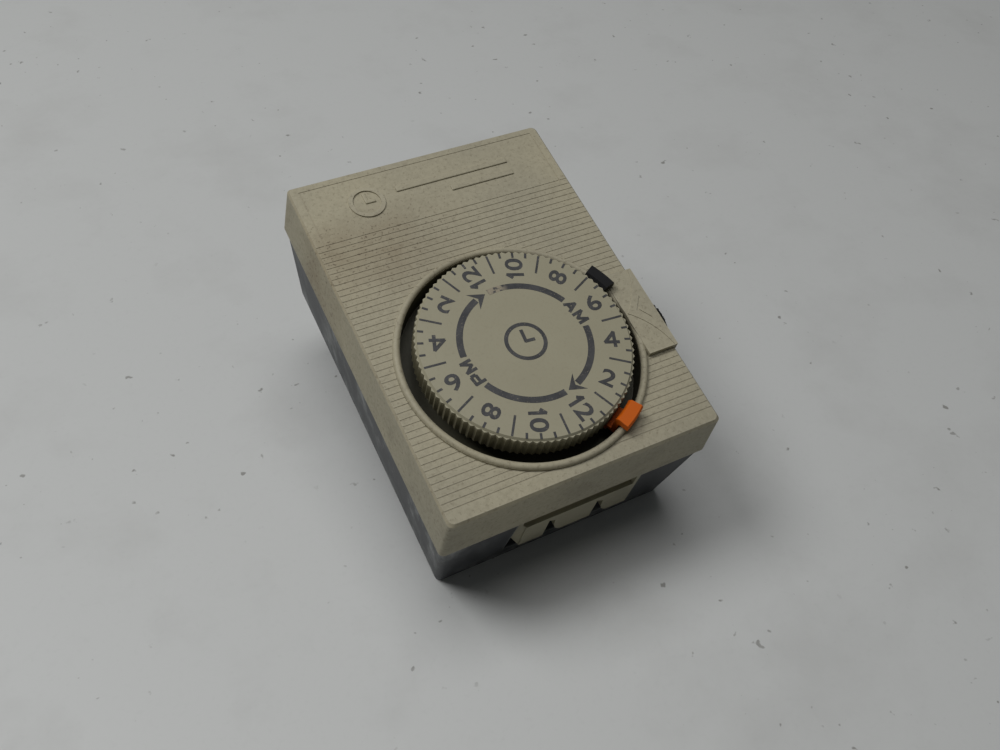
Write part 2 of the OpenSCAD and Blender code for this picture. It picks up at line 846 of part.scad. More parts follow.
module rotor_arbor() {
    color("silver")
    translate([rotor_at[0], rotor_at[1], 0]) {
        translate([0, 0, 4.7]) cylinder(h = level_1 + 1.2 - 4.7, r = rotor_arbor_r);
        rotate([0, 0, rotor_angle + 180]) gear(rotor_teeth, train_module, plate_top + 0.2, level_1 + 1.2);
    }
}

module rotor_bridge() {
    strap_z = 4.6;
    strap_t = 1.2;
    color("#b5b5b0")
    difference() {
        union() {
            block([core_x1 + 1, rotor_at[1] - 3, strap_z], [core_x2 - 1, rotor_at[1] + 2.2, strap_z + strap_t]);
            block([core_x1 + 1, rotor_at[1] - 3, strap_z], [core_x1 + 5, rotor_at[1] + 2.2, core_z]);
            block([core_x2 - 5, rotor_at[1] - 3, strap_z], [core_x2 - 1, rotor_at[1] + 2.2, core_z]);
        }
        translate([rotor_at[0], rotor_at[1], 0]) cylinder(h = 9, r = rotor_arbor_r + run_gap);
    }
}

module motor_screws() {
    color("silver")
    for (p = motor_posts)
        screw(p[0], p[1], core_z + core_t, 3.5, 1, 2.2, 1.3);
}

// ---------------------------------------------------------------- gear train

module plate_outline() {
    translate([-20, -19]) square([41.3, 44]);
    translate([20, -5.5]) square([7.2, 30.5]);
}

module rear_plate() {
    color("#c2c2bc")
    difference() {
        translate([0, 0, plate_z]) linear_extrude(height = plate_t) plate_outline();
        for (p = case_posts)
            translate([p[0], p[1], plate_z - 1]) cylinder(h = 4, r = 1.05);
        on_dial_axis() translate([0, 0, plate_z - 1]) cylinder(h = 4, r = spindle_r);
        for (p = [arbor_a, arbor_b])
            translate([p[0], p[1], plate_z - 1]) cylinder(h = 4, r = arbor_r);
        translate([rotor_at[0], rotor_at[1], plate_z - 1]) cylinder(h = 4, r = rotor_arbor_r + run_gap);
    }
}

module front_bridge() {
    color("#c2c2bc")
    difference() {
        translate([0, 0, bridge_z])
            linear_extrude(height = bridge_t)
                union() {
                    translate([-19.5, -0.5]) square([23, 25.5]);
                    translate([3, -5]) square([24.2, 30]);
                }
        for (p = pillars)
            translate([p[0], p[1], bridge_z - 1]) cylinder(h = 4, r = 1.05);
        for (p = [arbor_a, arbor_b])
            translate([p[0], p[1], bridge_z - 1]) cylinder(h = 4, r = arbor_r);
    }
}

module plate_pillars() {
    color("#c9a64a")
    for (p = pillars)
        translate([p[0], p[1], 0]) ring(pillar_r, p[0] == -12 ? 1 : 1.05, plate_top, bridge_z);
}

module plate_screws() {
    head_h = 1.3;
    color("silver") {
        for (p = pillars)
            screw(p[0], p[1], bridge_z + bridge_t, p[0] == -12 ? plate_top + 4 : 8, 1, 1.9, head_h);
        screw(case_posts[3][0], case_posts[3][1], plate_top, 8, 1, 2.1, head_h);
    }
}

module wheel_arbors() {
    color("silver")
    for (p = [arbor_a, arbor_b])
        translate([p[0], p[1], plate_z]) cylinder(h = bridge_z + bridge_t - plate_z, r = arbor_r, $fn = 32);
}

// Wheel k turns on arbor a if k is odd and on arbor b if it is even. Its pinion drives the next wheel.
// The turn angles put a gap of the wheel and a tooth of the pinion on the line between their arbors.
module train_wheel(k) {
    at = k % 2 == 1 ? arbor_a : arbor_b;
    z = level_1 + (k - 1) * level_pitch;
    driver = k == 1 ? rotor_angle : k % 2 == 1 ? b_angle : b_angle + 180;
    driven = k == 5 ? a_angle + 180 : k % 2 == 1 ? b_angle : b_angle + 180;
    pinion_module = k == 5 ? dial_module : train_module;
    color(k % 2 == 1 ? "#e8e2cf" : "#cfa64f")
    translate([at[0], at[1], 0])
    difference() {
        union() {
            rotate([0, 0, driver + 180 / wheel_teeth[k - 1]])
                gear(wheel_teeth[k - 1], train_module, z, z + wheel_t);
            rotate([0, 0, driven])
                gear(pinion_teeth[k - 1], pinion_module, z + wheel_t - e, z + level_pitch + wheel_t + 0.2);
        }
        translate([0, 0, z - 1]) cylinder(h = 6, r = arbor_r + bore_gap, $fn = 32);
    }
}

module wheel_1() {
    train_wheel(1);
}

module wheel_2() {
    train_wheel(2);
}

module wheel_3() {
    train_wheel(3);
}

module wheel_4() {
    train_wheel(4);
}

module wheel_5() {
    train_wheel(5);
}

// ---------------------------------------------------------------- assembly

front_cover();
rear_case();
case_screws();
receptacle_block();
receptacle_contact_neutral();
receptacle_contact_load();
insulating_card();
plug_blade_neutral();
plug_blade_line();
blade_rivets();
neutral_bus();
line_bus();
load_lead();
motor_lead_line();
motor_lead_neutral();
dial();
on_tripper();
off_tripper();
dial_spindle();
dial_retaining_ring();
clutch_gear();
clutch_washer();
clutch_collar();
manual_knob();
knob_shaft();
on_star_wheel();
off_star_wheel();
detent_wheel();
switch_cam();
detent_spring();
knob_bracket();
switch_base();
contact_anchor();
contact_leaf();
moving_contact();
fixed_contact();
motor_core();
coil_bobbin();
coil_winding();
rotor_magnet();
rotor_arbor();
rotor_bridge();
motor_screws();
rear_plate();
front_bridge();
plate_pillars();
plate_screws();
wheel_arbors();
wheel_1();
wheel_2();
wheel_3();
wheel_4();
wheel_5();
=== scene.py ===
import math

import bmesh
import bpy
from mathutils import Matrix, Vector


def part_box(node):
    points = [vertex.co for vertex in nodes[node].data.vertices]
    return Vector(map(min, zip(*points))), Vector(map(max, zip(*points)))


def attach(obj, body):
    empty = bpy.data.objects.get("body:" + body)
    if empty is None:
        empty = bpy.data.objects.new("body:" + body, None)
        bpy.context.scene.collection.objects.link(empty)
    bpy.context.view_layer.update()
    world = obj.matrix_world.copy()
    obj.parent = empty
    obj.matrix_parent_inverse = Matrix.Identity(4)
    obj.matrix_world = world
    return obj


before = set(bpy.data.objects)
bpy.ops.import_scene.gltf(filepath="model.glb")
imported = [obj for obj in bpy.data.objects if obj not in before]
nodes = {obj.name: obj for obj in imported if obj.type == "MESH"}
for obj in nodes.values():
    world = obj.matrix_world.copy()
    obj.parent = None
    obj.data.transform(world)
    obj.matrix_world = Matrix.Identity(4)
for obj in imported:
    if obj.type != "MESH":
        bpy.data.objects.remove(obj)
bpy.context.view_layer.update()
MM = 0.001

# ------------------------------------------------------------------ front cover
# The cover is a shallow box moulded in beige plastic, ribbed across its face. It is
# screwed to the rear case from behind. Years of handling have left it dull, with
# brown dust in the grooves and a stain beside the dial. Painted shade darkens the well round the
# dial.

cover_low, cover_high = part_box("front_cover")
dial_low, dial_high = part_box("dial")
WELL_RIM_RISE = 1.44 * MM
FACE_Z = cover_high.z - WELL_RIM_RISE
WELL_RADIUS = 27.4 * MM
DIAL_X, DIAL_Y = ((dial_low + dial_high) / 2).xy


class Sock:
    """A shader socket that takes part in Python expressions."""

    def __init__(self, finish, socket):
        self.finish = finish
        self.socket = socket

    def maths(self, operation, a, b):
        return self.finish.add("ShaderNodeMath", {"operation": operation}, {0: a, 1: b})

    def __add__(self, other):
        return self.maths("ADD", self, other)

    def __radd__(self, other):
        return self.maths("ADD", other, self)

    def __sub__(self, other):
        return self.maths("SUBTRACT", self, other)

    def __rsub__(self, other):
        return self.maths("SUBTRACT", other, self)

    def __mul__(self, other):
        return self.maths("MULTIPLY", self, other)

    def __rmul__(self, other):
        return self.maths("MULTIPLY", other, self)

    def __lt__(self, other):
        return self.maths("LESS_THAN", self, other)

    def __pow__(self, other):
        return self.maths("POWER", self, other)


class Finish:
    """A material under construction."""

    def __init__(self, name):
        self.material = bpy.data.materials.new(name)
        self.material.use_nodes = True
        self.tree = self.material.node_tree
        self.tree.nodes.clear()
        self.output = self.tree.nodes.new("ShaderNodeOutputMaterial")

    def add(self, kind, settings=None, inputs=None, out=0):
        node = self.tree.nodes.new(kind)
        for key, value in (settings or {}).items():
            setattr(node, key, value)
        for key, value in (inputs or {}).items():
            if isinstance(value, Sock):
                self.tree.links.new(value.socket, node.inputs[key])
            else:
                node.inputs[key].default_value = value
        return Sock(self, node.outputs[out])

    def place(self):
        return self.add("ShaderNodeTexCoord", out="Object")

    def axis(self, name):
        return self.add("ShaderNodeSeparateXYZ", inputs={0: self.place()}, out=name)

    def noise(self, size, detail, rough=0.55, stretch=None):
        """A cloudy pattern from 0 to 1, with patches of about the given size."""
        where = self.place()
        if stretch:
            where = self.add("ShaderNodeMapping", inputs={"Vector": where, "Scale": stretch})
        values = {"Vector": where, "Scale": 1 / size, "Detail": detail, "Roughness": rough}
        return self.add("ShaderNodeTexNoise", inputs=values)

    def ramp(self, value, low, high):
        """0 at low and 1 at high, and held at those beyond them."""
        inputs = {"Value": value, "From Min": low, "From Max": high}
        return self.add("ShaderNodeMapRange", {"clamp": True}, inputs)

    def mix(self, amount, a, b):
        """Colour a where amount is 0 and colour b where it is 1."""
        settings = {"data_type": "RGBA", "clamp_factor": True}
        inputs = {0: amount}
        for key, value in ((6, a), (7, b)):
            inputs[key] = value if isinstance(value, Sock) else (*value, 1)
        return self.add("ShaderNodeMix", settings, inputs, out=2)

    def edge_wear(self, width):
        """Rises toward 1 within the given width of a sharp edge."""
        rounded = self.add("ShaderNodeBevel", {"samples": 4}, {"Radius": width})
        flat = self.add("ShaderNodeNewGeometry", out="Normal")
        agreement = {"operation": "DOT_PRODUCT"}
        same = self.add("ShaderNodeVectorMath", agreement, {0: rounded, 1: flat}, out="Value")
        return 1 - same

    def bump(self, height, depth, strength, under=None):
        inputs = {"Height": height, "Distance": depth, "Strength": strength}
        if under is not None:
            inputs["Normal"] = under
        return self.add("ShaderNodeBump", inputs=inputs)

    def shade(self, colour, roughness, metallic=0.0, normal=None, **constants):
        inputs = {"Base Color": colour, "Roughness": roughness, "Metallic": metallic}
        if normal is not None:
            inputs["Normal"] = normal
        for key, value in constants.items():
            inputs[key.replace("_", " ")] = value
        surface = self.add("ShaderNodeBsdfPrincipled", inputs=inputs)
        self.tree.links.new(surface.socket, self.output.inputs["Surface"])
        return self.material


def paint(name, material):
    """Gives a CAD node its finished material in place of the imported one."""
    mesh = nodes[name].data
    mesh.materials.clear()
    mesh.materials.append(material)


def cover_plastic():
    beige = (0.445, 0.405, 0.285)
    grey_beige = (0.365, 0.338, 0.25)
    stain = (0.20, 0.145, 0.08)
    dirt = (0.12, 0.10, 0.065)
    f = Finish("cover_beige_plastic")
    x, y, z = f.axis("X"), f.axis("Y"), f.axis("Z")
    broad = f.noise(45 * MM, 2.0)
    fine = f.noise(1.1 * MM, 4.0, 0.7)
    speck = f.noise(0.35 * MM, 2.0)
    colour = f.mix(f.ramp(broad, 0.35, 0.7), beige, grey_beige)
    colour = f.mix(f.ramp(fine, 0.42, 0.75) * 0.24, colour, dirt)
    beside = f.ramp(y, 6 * MM, 22 * MM) * f.ramp(y, 36 * MM, 27 * MM) * f.ramp(x, 6 * MM, -16 * MM)
    patch = f.ramp(f.noise(9 * MM, 5.0, 0.65), 0.32, 0.62)
    colour = f.mix(beside * (0.25 + patch * 0.55) * 0.6, colour, stain)
    pits = f.ramp(f.noise(0.8 * MM, 3.0, 0.6), 0.58, 0.66)
    colour = f.mix(pits * (0.3 + beside * 0.4), colour, (0.10, 0.07, 0.04))
    sides = f.ramp(z, FACE_Z - 0.8 * MM, FACE_Z - 4 * MM)
    side_marks = f.ramp(f.noise(7 * MM, 5.0, 0.65), 0.52, 0.72)
    colour = f.mix(sides * (0.02 + side_marks * 0.26), colour, dirt)
    in_groove = f.ramp(z, FACE_Z - 0.02 * MM, FACE_Z - 0.09 * MM)
    in_groove = in_groove * f.ramp(z, FACE_Z - 0.8 * MM, FACE_Z - 0.5 * MM)
    colour = f.mix(in_groove * 0.12, colour, stain)
    reach = ((x - DIAL_X) * (x - DIAL_X) + (y - DIAL_Y) * (y - DIAL_Y)) ** 0.5
    # Painted shade: inside the well round the dial, below the face, the plastic is painted nearly
    # black.
    well_painted_shade = (reach < WELL_RADIUS) * f.ramp(z, FACE_Z + 0.6 * MM, FACE_Z - 0.4 * MM)
    colour = f.mix(well_painted_shade * 0.9, colour, (0.03, 0.03, 0.016))
    wear = f.ramp(f.edge_wear(0.5 * MM), 0.03, 0.2)
    colour = f.mix(wear * 0.22, colour, (0.56, 0.53, 0.43))
    rough = 0.52 + fine * 0.14 - wear * 0.08
    skin = f.bump(speck, 0.05 * MM, 0.6)
    skin = f.bump(f.noise(1.5 * MM, 3.0), 0.09 * MM, 0.5, skin)
    return f.shade(colour, rough, normal=skin, Specular_IOR_Level=0.38)


cover_beige = cover_plastic()
paint("front_cover", cover_beige)

# ------------------------------------------------------------------ rear case
# The deep back half is moulded in dark blue-grey plastic and tapers toward the wall.
# It is scuffed pale where it has rubbed against things, most on the left side.


def case_plastic():
    dark = (0.026, 0.028, 0.031)
    worn = (0.07, 0.074, 0.08)
    chalk = (0.34, 0.35, 0.345)
    f = Finish("case_dark_plastic")
    z = f.axis("Z")
    cloud = f.noise(16 * MM, 4.0, 0.6)
    colour = f.mix(f.ramp(cloud, 0.36, 0.68), dark, worn)
    side = f.ramp(f.axis("X"), -24 * MM, -30 * MM)
    streak = f.noise(6 * MM, 5.0, 0.7, (1, 1, 0.35))
    scuff = f.ramp(streak, 0.47, 0.66) * f.ramp(f.noise(20 * MM, 2.0), 0.38, 0.56)
    colour = f.mix(scuff * (0.25 + side * 0.5), colour, chalk)
    wear = f.ramp(f.edge_wear(0.8 * MM), 0.02, 0.16)
    colour = f.mix(wear * 0.55, colour, chalk)
    low = f.ramp(z, 6 * MM, 0.5 * MM) * f.ramp(f.noise(3 * MM, 4.0), 0.45, 0.62)
    colour = f.mix(low * 0.4, colour, chalk)
    rough = 0.42 + cloud * 0.25 + scuff * 0.2
    skin = f.bump(f.noise(0.6 * MM, 3.0), 0.03 * MM, 0.4)
    return f.shade(colour, rough, normal=skin)


paint("rear_case", case_plastic())

# ------------------------------------------------------------------ plain plastic parts
# The receptacle block is moulded in the cover's beige, and the gears, stars, cam, bracket
# and bobbin in natural nylon. The switch base and card are brown pressed fibre, the leads
# have black insulation, and the rotor is a ferrite magnet.


def plain_plastic(name, colour, roughness, grain=0.6,
                  dirt=(0.1, 0.09, 0.07), dirty=0.25, **constants):
    f = Finish(name)
    broad = f.noise(9 * MM, 3.0)
    fine = f.noise(grain * MM, 3.0)
    tone = f.mix(f.ramp(broad, 0.45, 0.75) * dirty, colour, dirt)
    wear = f.ramp(f.edge_wear(0.25 * MM), 0.03, 0.22)
    pale = tuple(min(1, c * 1.35 + 0.03) for c in colour)
    tone = f.mix(wear * 0.3, tone, pale)
    skin = f.bump(fine, 0.02 * MM, 0.35)
    return f.shade(tone, roughness + fine * 0.12, normal=skin, **constants)


beige = plain_plastic("receptacle_beige_plastic", (0.34, 0.315, 0.22), 0.36, dirty=0.4)
paint("receptacle_block", beige)
nylon = plain_plastic("natural_nylon", (0.62, 0.58, 0.46), 0.4, dirty=0.1)
for name in ("clutch_gear", "on_star_wheel", "off_star_wheel", "detent_wheel", "switch_cam",
             "knob_bracket", "wheel_1", "wheel_2", "wheel_3", "wheel_4", "wheel_5"):
    paint(name, nylon)
paint("coil_bobbin", plain_plastic("bobbin_nylon", (0.66, 0.61, 0.48), 0.45, dirty=0.08))
fibre = plain_plastic("pressed_fibre", (0.17, 0.075, 0.035), 0.6, 0.3, dirty=0.4)
paint("switch_base", fibre)
paint("insulating_card", fibre)
lead_cover = plain_plastic("lead_insulation", (0.015, 0.015, 0.016), 0.45)
for name in ("load_lead", "motor_lead_line", "motor_lead_neutral"):
    paint(name, lead_cover)
paint("rotor_magnet", plain_plastic("ferrite", (0.05, 0.05, 0.055), 0.55, 0.4))

# ------------------------------------------------------------------ metal parts
# Arbors, screws, rings and the detent spring are steel, and so are the stamped plates. The
# contact leaf, sockets, rivets and pillars are brass, the bus strips copper, the blades
# nickel-plated, and the switch's contacts silver. Most are riveted or screwed in place.


def metal(name, colour, roughness, tarnish, grain=(1, 1, 1)):
    f = Finish(name)
    marks = f.noise(0.8 * MM, 4.0, 0.6, grain)
    cloud = f.noise(5 * MM, 3.0)
    tone = f.mix(f.ramp(cloud, 0.42, 0.75) * 0.35, colour, tarnish)
    rough = roughness + marks * 0.18 + f.ramp(cloud, 0.45, 0.7) * 0.12
    skin = f.bump(marks, 0.01 * MM, 0.4)
    return f.shade(tone, rough, 1.0, skin)


steel = metal("turned_steel", (0.52, 0.52, 0.52), 0.26, (0.25, 0.23, 0.2), (1, 1, 0.2))
for name in ("case_screws", "dial_spindle", "dial_retaining_ring", "clutch_collar", "knob_shaft",
             "rotor_arbor", "motor_screws", "plate_screws", "wheel_arbors", "rotor_bridge"):
    paint(name, steel)
plate = metal("stamped_steel", (0.5, 0.5, 0.47), 0.34, (0.3, 0.28, 0.22), (0.25, 1, 1))
paint("rear_plate", plate)
paint("front_bridge", plate)
brass = metal("stamped_brass", (0.60, 0.43, 0.17), 0.28, (0.25, 0.15, 0.06))
for name in ("receptacle_contact_neutral", "receptacle_contact_load", "blade_rivets",
             "clutch_washer", "plate_pillars", "contact_anchor", "contact_leaf"):
    paint(name, brass)
copper = metal("copper_strip", (0.55, 0.27, 0.14), 0.3, (0.2, 0.09, 0.05))
paint("neutral_bus", copper)
paint("line_bus", copper)
blade = metal("nickel_plate", (0.56, 0.54, 0.47), 0.22, (0.34, 0.28, 0.18), (1, 1, 0.3))
paint("plug_blade_neutral", blade)
paint("plug_blade_line", blade)
silver = metal("silver_contact", (0.7, 0.7, 0.69), 0.25, (0.2, 0.2, 0.2))
paint("moving_contact", silver)
paint("fixed_contact", silver)
paint("detent_spring", metal("spring_steel", (0.4, 0.41, 0.43), 0.3, (0.12, 0.11, 0.1)))


# ------------------------------------------------------------------ motor core and winding
# The core is a riveted stack of punched steel sheets, with some rust on their edges. The
# coil is fine copper wire wound on the bobbin, under yellow tape.


def bands(f, direction, size, distortion):
    """Soft stripes across the given axis, from 0 to 1."""
    inputs = {"Vector": f.place(), "Scale": 1 / size, "Distortion": distortion}
    stripes = f.add("ShaderNodeTexWave", {"bands_direction": direction}, inputs)
    return f.add("ShaderNodeSeparateColor", inputs={0: stripes})


def stack_of_sheets():
    f = Finish("laminated_steel")
    layer = bands(f, "Z", 2.2 * MM, 0.3)
    rust = f.ramp(f.noise(4 * MM, 4.0), 0.5, 0.72)
    tone = f.mix(f.ramp(layer, 0.1, 0.4), (0.06, 0.055, 0.05), (0.23, 0.235, 0.24))
    tone = f.mix(rust * 0.35, tone, (0.2, 0.1, 0.05))
    return f.shade(tone, 0.42 + rust * 0.3, 0.85, f.bump(layer, 0.08 * MM, 0.6))


paint("motor_core", stack_of_sheets())


def wound_tape():
    f = Finish("winding_tape")
    turn = bands(f, "X", 6 * MM, 0.6)
    tone = f.mix(f.ramp(turn, 0.05, 0.3), (0.25, 0.15, 0.02), (0.5, 0.32, 0.05))
    return f.shade(tone, 0.4 + turn * 0.1, normal=f.bump(turn, 0.1 * MM, 0.5))


paint("coil_winding", wound_tape())

# ------------------------------------------------------------------ dial
# The dial is one moulding in cream plastic: a flat disc with a knurled rim that the
# fingers turn, and a hub below that runs on the spindle. It turns once in 24 hours.

DIAL_TOP = dial_high.z


def dial_plastic():
    f = Finish("dial_cream_plastic")
    cream = (0.355, 0.33, 0.228)
    grubby = (0.285, 0.258, 0.17)
    broad = f.noise(20 * MM, 3.0)
    fine = f.noise(0.8 * MM, 3.0, 0.6)
    z = f.axis("Z")
    colour = f.mix(f.ramp(broad, 0.4, 0.75) * 0.4, cream, grubby)
    colour = f.mix(f.ramp(fine, 0.55, 0.8) * 0.14, colour, (0.15, 0.12, 0.08))
    # Painted shade: the knurled rim and the hub get darker from half a millimetre below the dial's
    # top.
    below = f.ramp(z, DIAL_TOP - 0.5 * MM, DIAL_TOP - 1.8 * MM)
    colour = f.mix(below * 0.62, colour, (0.13, 0.115, 0.06))
    wear = f.ramp(f.edge_wear(0.35 * MM), 0.04, 0.22)
    colour = f.mix(wear * 0.22, colour, (0.5, 0.47, 0.36))
    skin = f.bump(f.noise(0.4 * MM, 2.0), 0.015 * MM, 0.35)
    return f.shade(colour, 0.46 + fine * 0.12, normal=skin)


paint("dial", dial_plastic())

# ------------------------------------------------------------------ print on the dial
# The scale is pad-printed in thin dark grey ink on the face of the dial: two runs of
# twelve hours, an arrow for day and one for night, and a plain clock face in the middle.
# Each piece stands a little proud of the face, and one arrow has rubbed away in part.

INK = 0.03 * MM
LIFT = 0.003 * MM
HOUR = 15
FIRST_NUMBER = 10.8
FIRST_LINE = FIRST_NUMBER - HOUR
BAND_RADIUS = 14.65 * MM


def printing_ink():
    f = Finish("printing_ink")
    x, y = f.axis("X"), f.axis("Y")
    worn = f.ramp(f.noise(0.5 * MM, 4.0, 0.7), 0.60, 0.68)
    cloud = f.noise(3 * MM, 3.0)
    from_rub = ((x - DIAL_X + 0.5 * MM) ** 2 + (y - DIAL_Y - 14.6 * MM) ** 2) ** 0.5
    rubbed = f.ramp(from_rub, 3.2 * MM, 1.5 * MM) * f.ramp(f.noise(1.1 * MM, 3.0), 0.36, 0.5)
    tone = f.mix(f.ramp(cloud, 0.35, 0.7), (0.028, 0.029, 0.032), (0.062, 0.062, 0.064))
    tone = f.mix(worn * 0.6 + rubbed * 0.85, tone, (0.36, 0.31, 0.22))
    return f.shade(tone, 0.5 + cloud * 0.1)


ink = printing_ink()


def deselect():
    bpy.ops.object.select_all(action="DESELECT")


def on_face(thing, radius, angle, spin=0):
    """Moves a flat piece from the origin to the face, its X axis outward before the spin."""
    turn = Matrix.Rotation(math.radians(angle), 4, "Z")
    out = Matrix.Translation((radius, 0, 0)) @ Matrix.Rotation(math.radians(spin), 4, "Z")
    centre = Matrix.Translation((DIAL_X, DIAL_Y, DIAL_TOP))
    thing.data.transform(centre @ turn @ out)


def joined(name, things, material):
    """Makes one piece of several and gives it its name and material."""
    deselect()
    for thing in things:
        thing.select_set(True)
    bpy.context.view_layer.objects.active = things[0]
    bpy.ops.object.join()
    whole = bpy.context.object
    whole.name = name
    whole.data.name = name
    whole.data.materials.clear()
    whole.data.materials.append(material)
    return whole


def printed_bar(length, width):
    """A bar along X, centred at the origin, with its four corners rounded."""
    deselect()
    bpy.ops.mesh.primitive_cube_add(size=1)
    bar = bpy.context.object
    bar.data.transform(Matrix.Diagonal((length, width, 2 * INK, 1)))
    bpy.ops.object.mode_set(mode="EDIT")
    bpy.ops.mesh.select_all(action="DESELECT")
    mesh = bmesh.from_edit_mesh(bar.data)
    for edge in mesh.edges:
        a, b = edge.verts
        edge.select_set(abs(a.co.z - b.co.z) > INK)
    bmesh.update_edit_mesh(bar.data)
    bpy.ops.mesh.bevel(offset=width * 0.3, segments=3)
    bpy.ops.object.mode_set(mode="OBJECT")
    return bar


def copy_of(thing):
    twin = thing.copy()
    twin.data = thing.data.copy()
    bpy.context.scene.collection.objects.link(twin)
    return twin


def ring_of(thing, radius, angles):
    """Copies a piece to each angle on the face, and does away with the first one."""
    things = []
    for angle in angles:
        twin = copy_of(thing)
        on_face(twin, radius, angle)
        things.append(twin)
    bpy.data.objects.remove(thing)
    return things


line_angles = [FIRST_LINE + 2 * HOUR * k for k in range(12)]
long_lines = ring_of(printed_bar(5.0 * MM, 0.52 * MM), 21.25 * MM, line_angles)
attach(joined("dial_hour_lines", long_lines, ink), "dial")
tick_angles = [angle + HOUR / 2 * q for angle in line_angles for q in (1, 2, 3)]
short_lines = ring_of(printed_bar(1.35 * MM, 0.55 * MM), 23.2 * MM, tick_angles)
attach(joined("dial_half_hour_lines", short_lines, ink), "dial")


def printed_digit(digit, size, bold):
    """A solid digit in the built-in typeface, thickened by bold all round."""
    deselect()
    bpy.ops.object.text_add()
    thing = bpy.context.object
    thing.data.body = digit
    thing.data.size = size
    thing.data.align_x = "CENTER"
    thing.data.align_y = "CENTER"
    thing.data.extrude = INK
    thing.data.offset = bold
    thing.data.resolution_u = 4
    bpy.ops.object.convert(target="MESH")
    return bpy.context.object


def centred(thing, width, height, at):
    """Brings a flat piece to the given size with its middle at X = at."""
    xs = [v.co.x for v in thing.data.vertices]
    ys = [v.co.y for v in thing.data.vertices]
    middle = Vector(((min(xs) + max(xs)) / 2, (min(ys) + max(ys)) / 2, 0))
    thing.data.transform(Matrix.Translation(-middle))
    scale = (width / (max(xs) - min(xs)), height / (max(ys) - min(ys)), 1, 1)
    thing.data.transform(Matrix.Translation((at, 0, 0)) @ Matrix.Diagonal(scale))


# Each bar of a character runs between two points on a square of side 1.
STROKES = {
    "A": [(0, 0, 0.5, 1), (0.5, 1, 1, 0), (0.2, 0.3, 0.8, 0.3)],
    "M": [(0, 0, 0, 1), (0, 1, 0.5, 0.15), (0.5, 0.15, 1, 1), (1, 1, 1, 0)],
    "P": [(0, 0, 0, 1), (0, 1, 0.85, 1), (1, 0.92, 1, 0.55), (0.85, 0.48, 0, 0.48)],
    "1": [(0.5, 0, 0.5, 1), (0.1, 0.72, 0.5, 1)],
    "4": [(0.7, 0, 0.7, 1), (0.7, 1, 0, 0.3), (0, 0.3, 1, 0.3)],
}


def drawn(character, left, width, height, weight):
    """A character built of bars, each a hair above the one before."""
    bars = []
    for k, (x1, y1, x2, y2) in enumerate(STROKES[character]):
        a = Vector((left + x1 * width, (y1 - 0.5) * height, 0))
        b = Vector((left + x2 * width, (y2 - 0.5) * height, 0))
        bar = printed_bar((b - a).length + weight * 0.6, weight)
        turn = Matrix.Rotation(math.atan2(b.y - a.y, b.x - a.x), 4, "Z")
        middle = (a + b) / 2 + Vector((0, 0, LIFT * k))
        bar.data.transform(Matrix.Translation(middle) @ turn)
        bars.append(bar)
    return bars


numbers = []
for k, hour in enumerate([6, 8, 10, 12, 2, 4] * 2):
    if hour == 4:
        digits = drawn("4", -1.6 * MM, 3.1 * MM, 3.6 * MM, 0.8 * MM)
    else:
        digits = [printed_digit(str(hour)[-1], 5.6 * MM, 0.12 * MM)]
        centred(digits[0], 3.35 * MM, 4.2 * MM, 1.05 * MM if hour > 9 else 0.0)
    if hour > 9:
        digits += drawn("1", -2.75 * MM, 1.9 * MM, 3.6 * MM, 0.8 * MM)
    for digit in digits:
        on_face(digit, 19.6 * MM, FIRST_NUMBER + 2 * HOUR * k)
    numbers += digits
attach(joined("dial_hour_numbers", numbers, ink), "dial")


def swept_ring(radius, width, height, start, sweep, steps):
    """A flat band round the origin, or a whole ring, swept clockwise from its start."""
    deselect()
    bpy.ops.mesh.primitive_plane_add(size=1)
    ring = bpy.context.object
    upright = Matrix.Rotation(math.radians(90), 4, "X") @ Matrix.Diagonal((width, height, 1, 1))
    ring.data.transform(Matrix.Translation((radius, 0, 0)) @ upright)
    ring.data.transform(Matrix.Rotation(math.radians(start), 4, "Z"))
    bpy.ops.object.mode_set(mode="EDIT")
    bpy.ops.mesh.select_all(action="SELECT")
    bpy.ops.mesh.spin(steps=steps, angle=math.radians(sweep), center=(0, 0, 0), axis=(0, 0, 1))
    bpy.ops.mesh.select_all(action="SELECT")
    bpy.ops.mesh.remove_doubles(threshold=0.001 * MM)
    bpy.ops.mesh.normals_make_consistent(inside=False)
    bpy.ops.object.mode_set(mode="OBJECT")
    return ring


def arrowhead(length, width):
    """A triangle pointing along Y, with a notch in the middle of its back."""
    notch = 0.62
    deselect()
    bpy.ops.mesh.primitive_cylinder_add(vertices=3, radius=1, depth=2 * INK)
    head = bpy.context.object
    bpy.ops.object.mode_set(mode="EDIT")
    bpy.ops.mesh.select_all(action="DESELECT")
    mesh = bmesh.from_edit_mesh(head.data)
    for edge in mesh.edges:
        a, b = edge.verts
        at_back = a.co.y < 0 and b.co.y < 0
        edge.select_set(at_back and abs(a.co.z - b.co.z) < INK)
    bmesh.update_edit_mesh(head.data)
    bpy.ops.mesh.subdivide(number_cuts=1)
    bpy.ops.mesh.select_all(action="DESELECT")
    mesh = bmesh.from_edit_mesh(head.data)
    for vertex in mesh.verts:
        vertex.select_set(abs(vertex.co.x) < 0.01 and vertex.co.y < 0)
    bmesh.update_edit_mesh(head.data)
    bpy.ops.transform.translate(value=(0, notch, 0))
    bpy.ops.object.mode_set(mode="OBJECT")
    head.data.transform(Matrix.Diagonal((width, length, 1.2, 1)))
    return head


